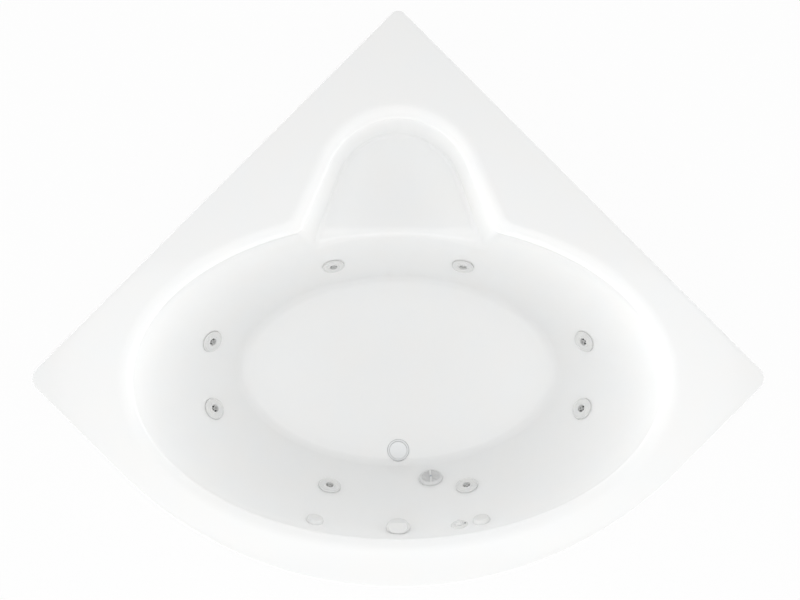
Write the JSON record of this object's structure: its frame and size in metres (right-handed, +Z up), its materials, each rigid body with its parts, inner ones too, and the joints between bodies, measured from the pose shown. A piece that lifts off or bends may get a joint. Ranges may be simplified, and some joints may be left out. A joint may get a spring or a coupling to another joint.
{
  "type": "corner bathtub",
  "caption": "Corner bath with an oval basin, a moulded corner seat, eight water jets, waste and overflow, pump and steel cradle.",
  "frame": {"origin": "on the floor, under the middle of the bath's bounding box", "axes": "+X to the right of the bather's front edge, +Y towards the room's corner, +Z up"},
  "size_m": [2.1236, 1.671, 0.533],
  "materials": {
    "acrylic": "high gloss, vacuum formed",
    "bearing_steel": "ground",
    "board": "resin sealed chipboard",
    "cable_sheath": "extruded",
    "clear_vinyl": "extruded, translucent",
    "flexible_pvc": "extruded",
    "foot_nylon": "moulded",
    "galvanised_steel": "zinc coated",
    "gasket_rubber": "moulded",
    "motor_aluminium": "die cast",
    "nozzle_plastic": "moulded",
    "pump_plastic": "moulded",
    "rotor_steel": "turned",
    "stator_iron": "varnished laminations",
    "suction_grey": "moulded",
    "waste_metal": "white enamelled",
    "white_abs": "moulded, polished",
    "white_pvc": "moulded",
    "zinc_plated_steel": "bright zinc"
  },
  "bodies": {
    "root": {"tub_shell": "acrylic", "base_board": "board", "rim_battens": "board", "cradle_rails": "galvanised_steel", "cradle_posts": "galvanised_steel", "cradle_fasteners": "zinc_plated_steel", "jet_bodies": "white_pvc", "wall_gaskets": "gasket_rubber", "wall_nuts": "white_pvc", "air_control_bodies": "white_pvc", "switch_body": "white_abs", "suction_body": "white_pvc", "suction_cover": "suction_grey", "suction_screw": "zinc_plated_steel", "drain_flange": "waste_metal", "drain_shoe": "white_pvc", "overflow_collar": "white_abs", "overflow_elbow": "white_pvc", "waste_pipe": "white_pvc", "drain_cable": "cable_sheath", "pump_volute": "pump_plastic", "motor_housing": "motor_aluminium", "motor_end_bell": "motor_aluminium", "motor_stator": "stator_iron", "motor_bearings": "bearing_steel", "pump_bracket": "galvanised_steel", "control_box": "pump_plastic", "suction_pipe": "flexible_pvc", "water_hoses": "flexible_pvc", "air_hoses": "clear_vinyl", "switch_tube": "clear_vinyl"},
    "ring_front_right": {"jet_ring_front_right": "white_abs"},
    "nozzle_front_right": {"jet_nozzle_front_right": "nozzle_plastic"},
    "ring_right_front": {"jet_ring_right_front": "white_abs"},
    "nozzle_right_front": {"jet_nozzle_right_front": "nozzle_plastic"},
    "ring_right_back": {"jet_ring_right_back": "white_abs"},
    "nozzle_right_back": {"jet_nozzle_right_back": "nozzle_plastic"},
    "ring_back_right": {"jet_ring_back_right": "white_abs"},
    "nozzle_back_right": {"jet_nozzle_back_right": "nozzle_plastic"},
    "ring_back_left": {"jet_ring_back_left": "white_abs"},
    "nozzle_back_left": {"jet_nozzle_back_left": "nozzle_plastic"},
    "ring_left_back": {"jet_ring_left_back": "white_abs"},
    "nozzle_left_back": {"jet_nozzle_left_back": "nozzle_plastic"},
    "ring_left_front": {"jet_ring_left_front": "white_abs"},
    "nozzle_left_front": {"jet_nozzle_left_front": "nozzle_plastic"},
    "ring_front_left": {"jet_ring_front_left": "white_abs"},
    "nozzle_front_left": {"jet_nozzle_front_left": "nozzle_plastic"},
    "air_knob_left": {"air_knob_left": "white_abs"},
    "air_knob_right": {"air_knob_right": "white_abs"},
    "switch_button": {"switch_button": "white_abs"},
    "overflow_knob": {"overflow_knob": "white_abs"},
    "drain_stopper": {"drain_stopper": "waste_metal"},
    "pump_rotor": {"pump_rotor": "rotor_steel"},
    "foot_1": {"levelling_foot_1": "foot_nylon"},
    "foot_2": {"levelling_foot_2": "foot_nylon"},
    "foot_3": {"levelling_foot_3": "foot_nylon"},
    "foot_4": {"levelling_foot_4": "foot_nylon"},
    "foot_5": {"levelling_foot_5": "foot_nylon"},
    "foot_6": {"levelling_foot_6": "foot_nylon"},
    "foot_7": {"levelling_foot_7": "foot_nylon"}
  },
  "joints": [
    {"name": "ring_turn_front_right", "type": "hinge", "parent": "root", "child": "ring_front_right", "pos_m": [0.218, -0.59399, 0.248], "axis": [-0.1926, 0.8836, 0.4269], "range_deg": [0, 90]},
    {"name": "nozzle_tilt_front_right", "type": "hinge", "parent": "ring_front_right", "child": "nozzle_front_right", "pos_m": [0.21877, -0.59753, 0.24629], "axis": [-0.9771, -0.213, 0], "range_deg": [-15, 15]},
    {"name": "ring_turn_right_front", "type": "hinge", "parent": "root", "child": "ring_right_front", "pos_m": [0.58874, -0.35088, 0.225], "axis": [-0.7121, 0.3888, 0.5845], "range_deg": [0, 90]},
    {"name": "nozzle_tilt_right_front", "type": "hinge", "parent": "ring_right_front", "child": "nozzle_right_front", "pos_m": [0.59159, -0.35243, 0.22266], "axis": [-0.4792, -0.8777, 0], "range_deg": [-15, 15]},
    {"name": "ring_turn_right_back", "type": "hinge", "parent": "root", "child": "ring_right_back", "pos_m": [0.5954, -0.13388, 0.225], "axis": [-0.7279, -0.3485, 0.5906], "range_deg": [0, 90]},
    {"name": "nozzle_tilt_right_back", "type": "hinge", "parent": "ring_right_back", "child": "nozzle_right_back", "pos_m": [0.59831, -0.13248, 0.22264], "axis": [0.4319, -0.9019, 0], "range_deg": [-15, 15]},
    {"name": "ring_turn_back_right", "type": "hinge", "parent": "root", "child": "ring_back_right", "pos_m": [0.208, 0.10799, 0.215], "axis": [-0.1891, -0.8743, 0.4471], "range_deg": [0, 90]},
    {"name": "nozzle_tilt_back_right", "type": "hinge", "parent": "ring_back_right", "child": "nozzle_back_right", "pos_m": [0.20876, 0.11149, 0.21321], "axis": [0.9774, -0.2114, 0], "range_deg": [-15, 15]},
    {"name": "ring_turn_back_left", "type": "hinge", "parent": "root", "child": "ring_back_left", "pos_m": [-0.208, 0.10799, 0.215], "axis": [0.1891, -0.8743, 0.4471], "range_deg": [0, 90]},
    {"name": "nozzle_tilt_back_left", "type": "hinge", "parent": "ring_back_left", "child": "nozzle_back_left", "pos_m": [-0.20876, 0.11149, 0.21321], "axis": [0.9774, 0.2114, 0], "range_deg": [-15, 15]},
    {"name": "ring_turn_left_back", "type": "hinge", "parent": "root", "child": "ring_left_back", "pos_m": [-0.5954, -0.13388, 0.225], "axis": [0.7279, -0.3485, 0.5906], "range_deg": [0, 90]},
    {"name": "nozzle_tilt_left_back", "type": "hinge", "parent": "ring_left_back", "child": "nozzle_left_back", "pos_m": [-0.59831, -0.13248, 0.22264], "axis": [0.4319, 0.9019, 0], "range_deg": [-15, 15]},
    {"name": "ring_turn_left_front", "type": "hinge", "parent": "root", "child": "ring_left_front", "pos_m": [-0.58874, -0.35088, 0.225], "axis": [0.7121, 0.3888, 0.5845], "range_deg": [0, 90]},
    {"name": "nozzle_tilt_left_front", "type": "hinge", "parent": "ring_left_front", "child": "nozzle_left_front", "pos_m": [-0.59159, -0.35243, 0.22266], "axis": [-0.4792, 0.8777, 0], "range_deg": [-15, 15]},
    {"name": "ring_turn_front_left", "type": "hinge", "parent": "root", "child": "ring_front_left", "pos_m": [-0.218, -0.59399, 0.248], "axis": [0.1926, 0.8836, 0.4269], "range_deg": [0, 90]},
    {"name": "nozzle_tilt_front_left", "type": "hinge", "parent": "ring_front_left", "child": "nozzle_front_left", "pos_m": [-0.21877, -0.59753, 0.24629], "axis": [-0.9771, 0.213, 0], "range_deg": [-15, 15]},
    {"name": "air_turn_left", "type": "hinge", "parent": "root", "child": "air_knob_left", "pos_m": [-0.249, -0.66093, 0.441], "axis": [0.2001, 0.9489, 0.2439], "range_deg": [0, 120]},
    {"name": "air_turn_right", "type": "hinge", "parent": "root", "child": "air_knob_right", "pos_m": [0.249, -0.66093, 0.441], "axis": [-0.2001, 0.9489, 0.2439], "range_deg": [0, 120]},
    {"name": "switch_press", "type": "slide", "parent": "root", "child": "switch_button", "axis": [0.1447, -0.9599, -0.2402], "range_m": [0, 0.006], "stiffness_N_per_m": 300, "springref_m": -0.004},
    {"name": "overflow_turn", "type": "hinge", "parent": "root", "child": "overflow_knob", "pos_m": [0, -0.68641, 0.441], "axis": [0, 0.9717, 0.236], "range_deg": [0, 120]},
    {"name": "stopper_lift", "type": "slide", "parent": "root", "child": "drain_stopper", "axis": [0, 0, 1], "range_m": [0, 0.0101]},
    {"name": "rotor_spin", "type": "hinge", "parent": "root", "child": "pump_rotor", "pos_m": [0.76006, -0.23588, 0.1555], "axis": [0, 1, 0], "continuous": true},
    {"name": "foot_height_1", "type": "slide", "parent": "root", "child": "foot_1", "axis": [0, 0, -1], "range_m": [0, 0.025]},
    {"name": "foot_height_2", "type": "slide", "parent": "root", "child": "foot_2", "axis": [0, 0, -1], "range_m": [0, 0.025]},
    {"name": "foot_height_3", "type": "slide", "parent": "root", "child": "foot_3", "axis": [0, 0, -1], "range_m": [0, 0.025]},
    {"name": "foot_height_4", "type": "slide", "parent": "root", "child": "foot_4", "axis": [0, 0, -1], "range_m": [0, 0.025]},
    {"name": "foot_height_5", "type": "slide", "parent": "root", "child": "foot_5", "axis": [0, 0, -1], "range_m": [0, 0.025]},
    {"name": "foot_height_6", "type": "slide", "parent": "root", "child": "foot_6", "axis": [0, 0, -1], "range_m": [0, 0.025]},
    {"name": "foot_height_7", "type": "slide", "parent": "root", "child": "foot_7", "axis": [0, 0, -1], "range_m": [0, 0.025]}
  ],
  "couplings": [
    {"joint": "stopper_lift", "follows": "overflow_turn", "m_per_rad": 0.0048}
  ]
}
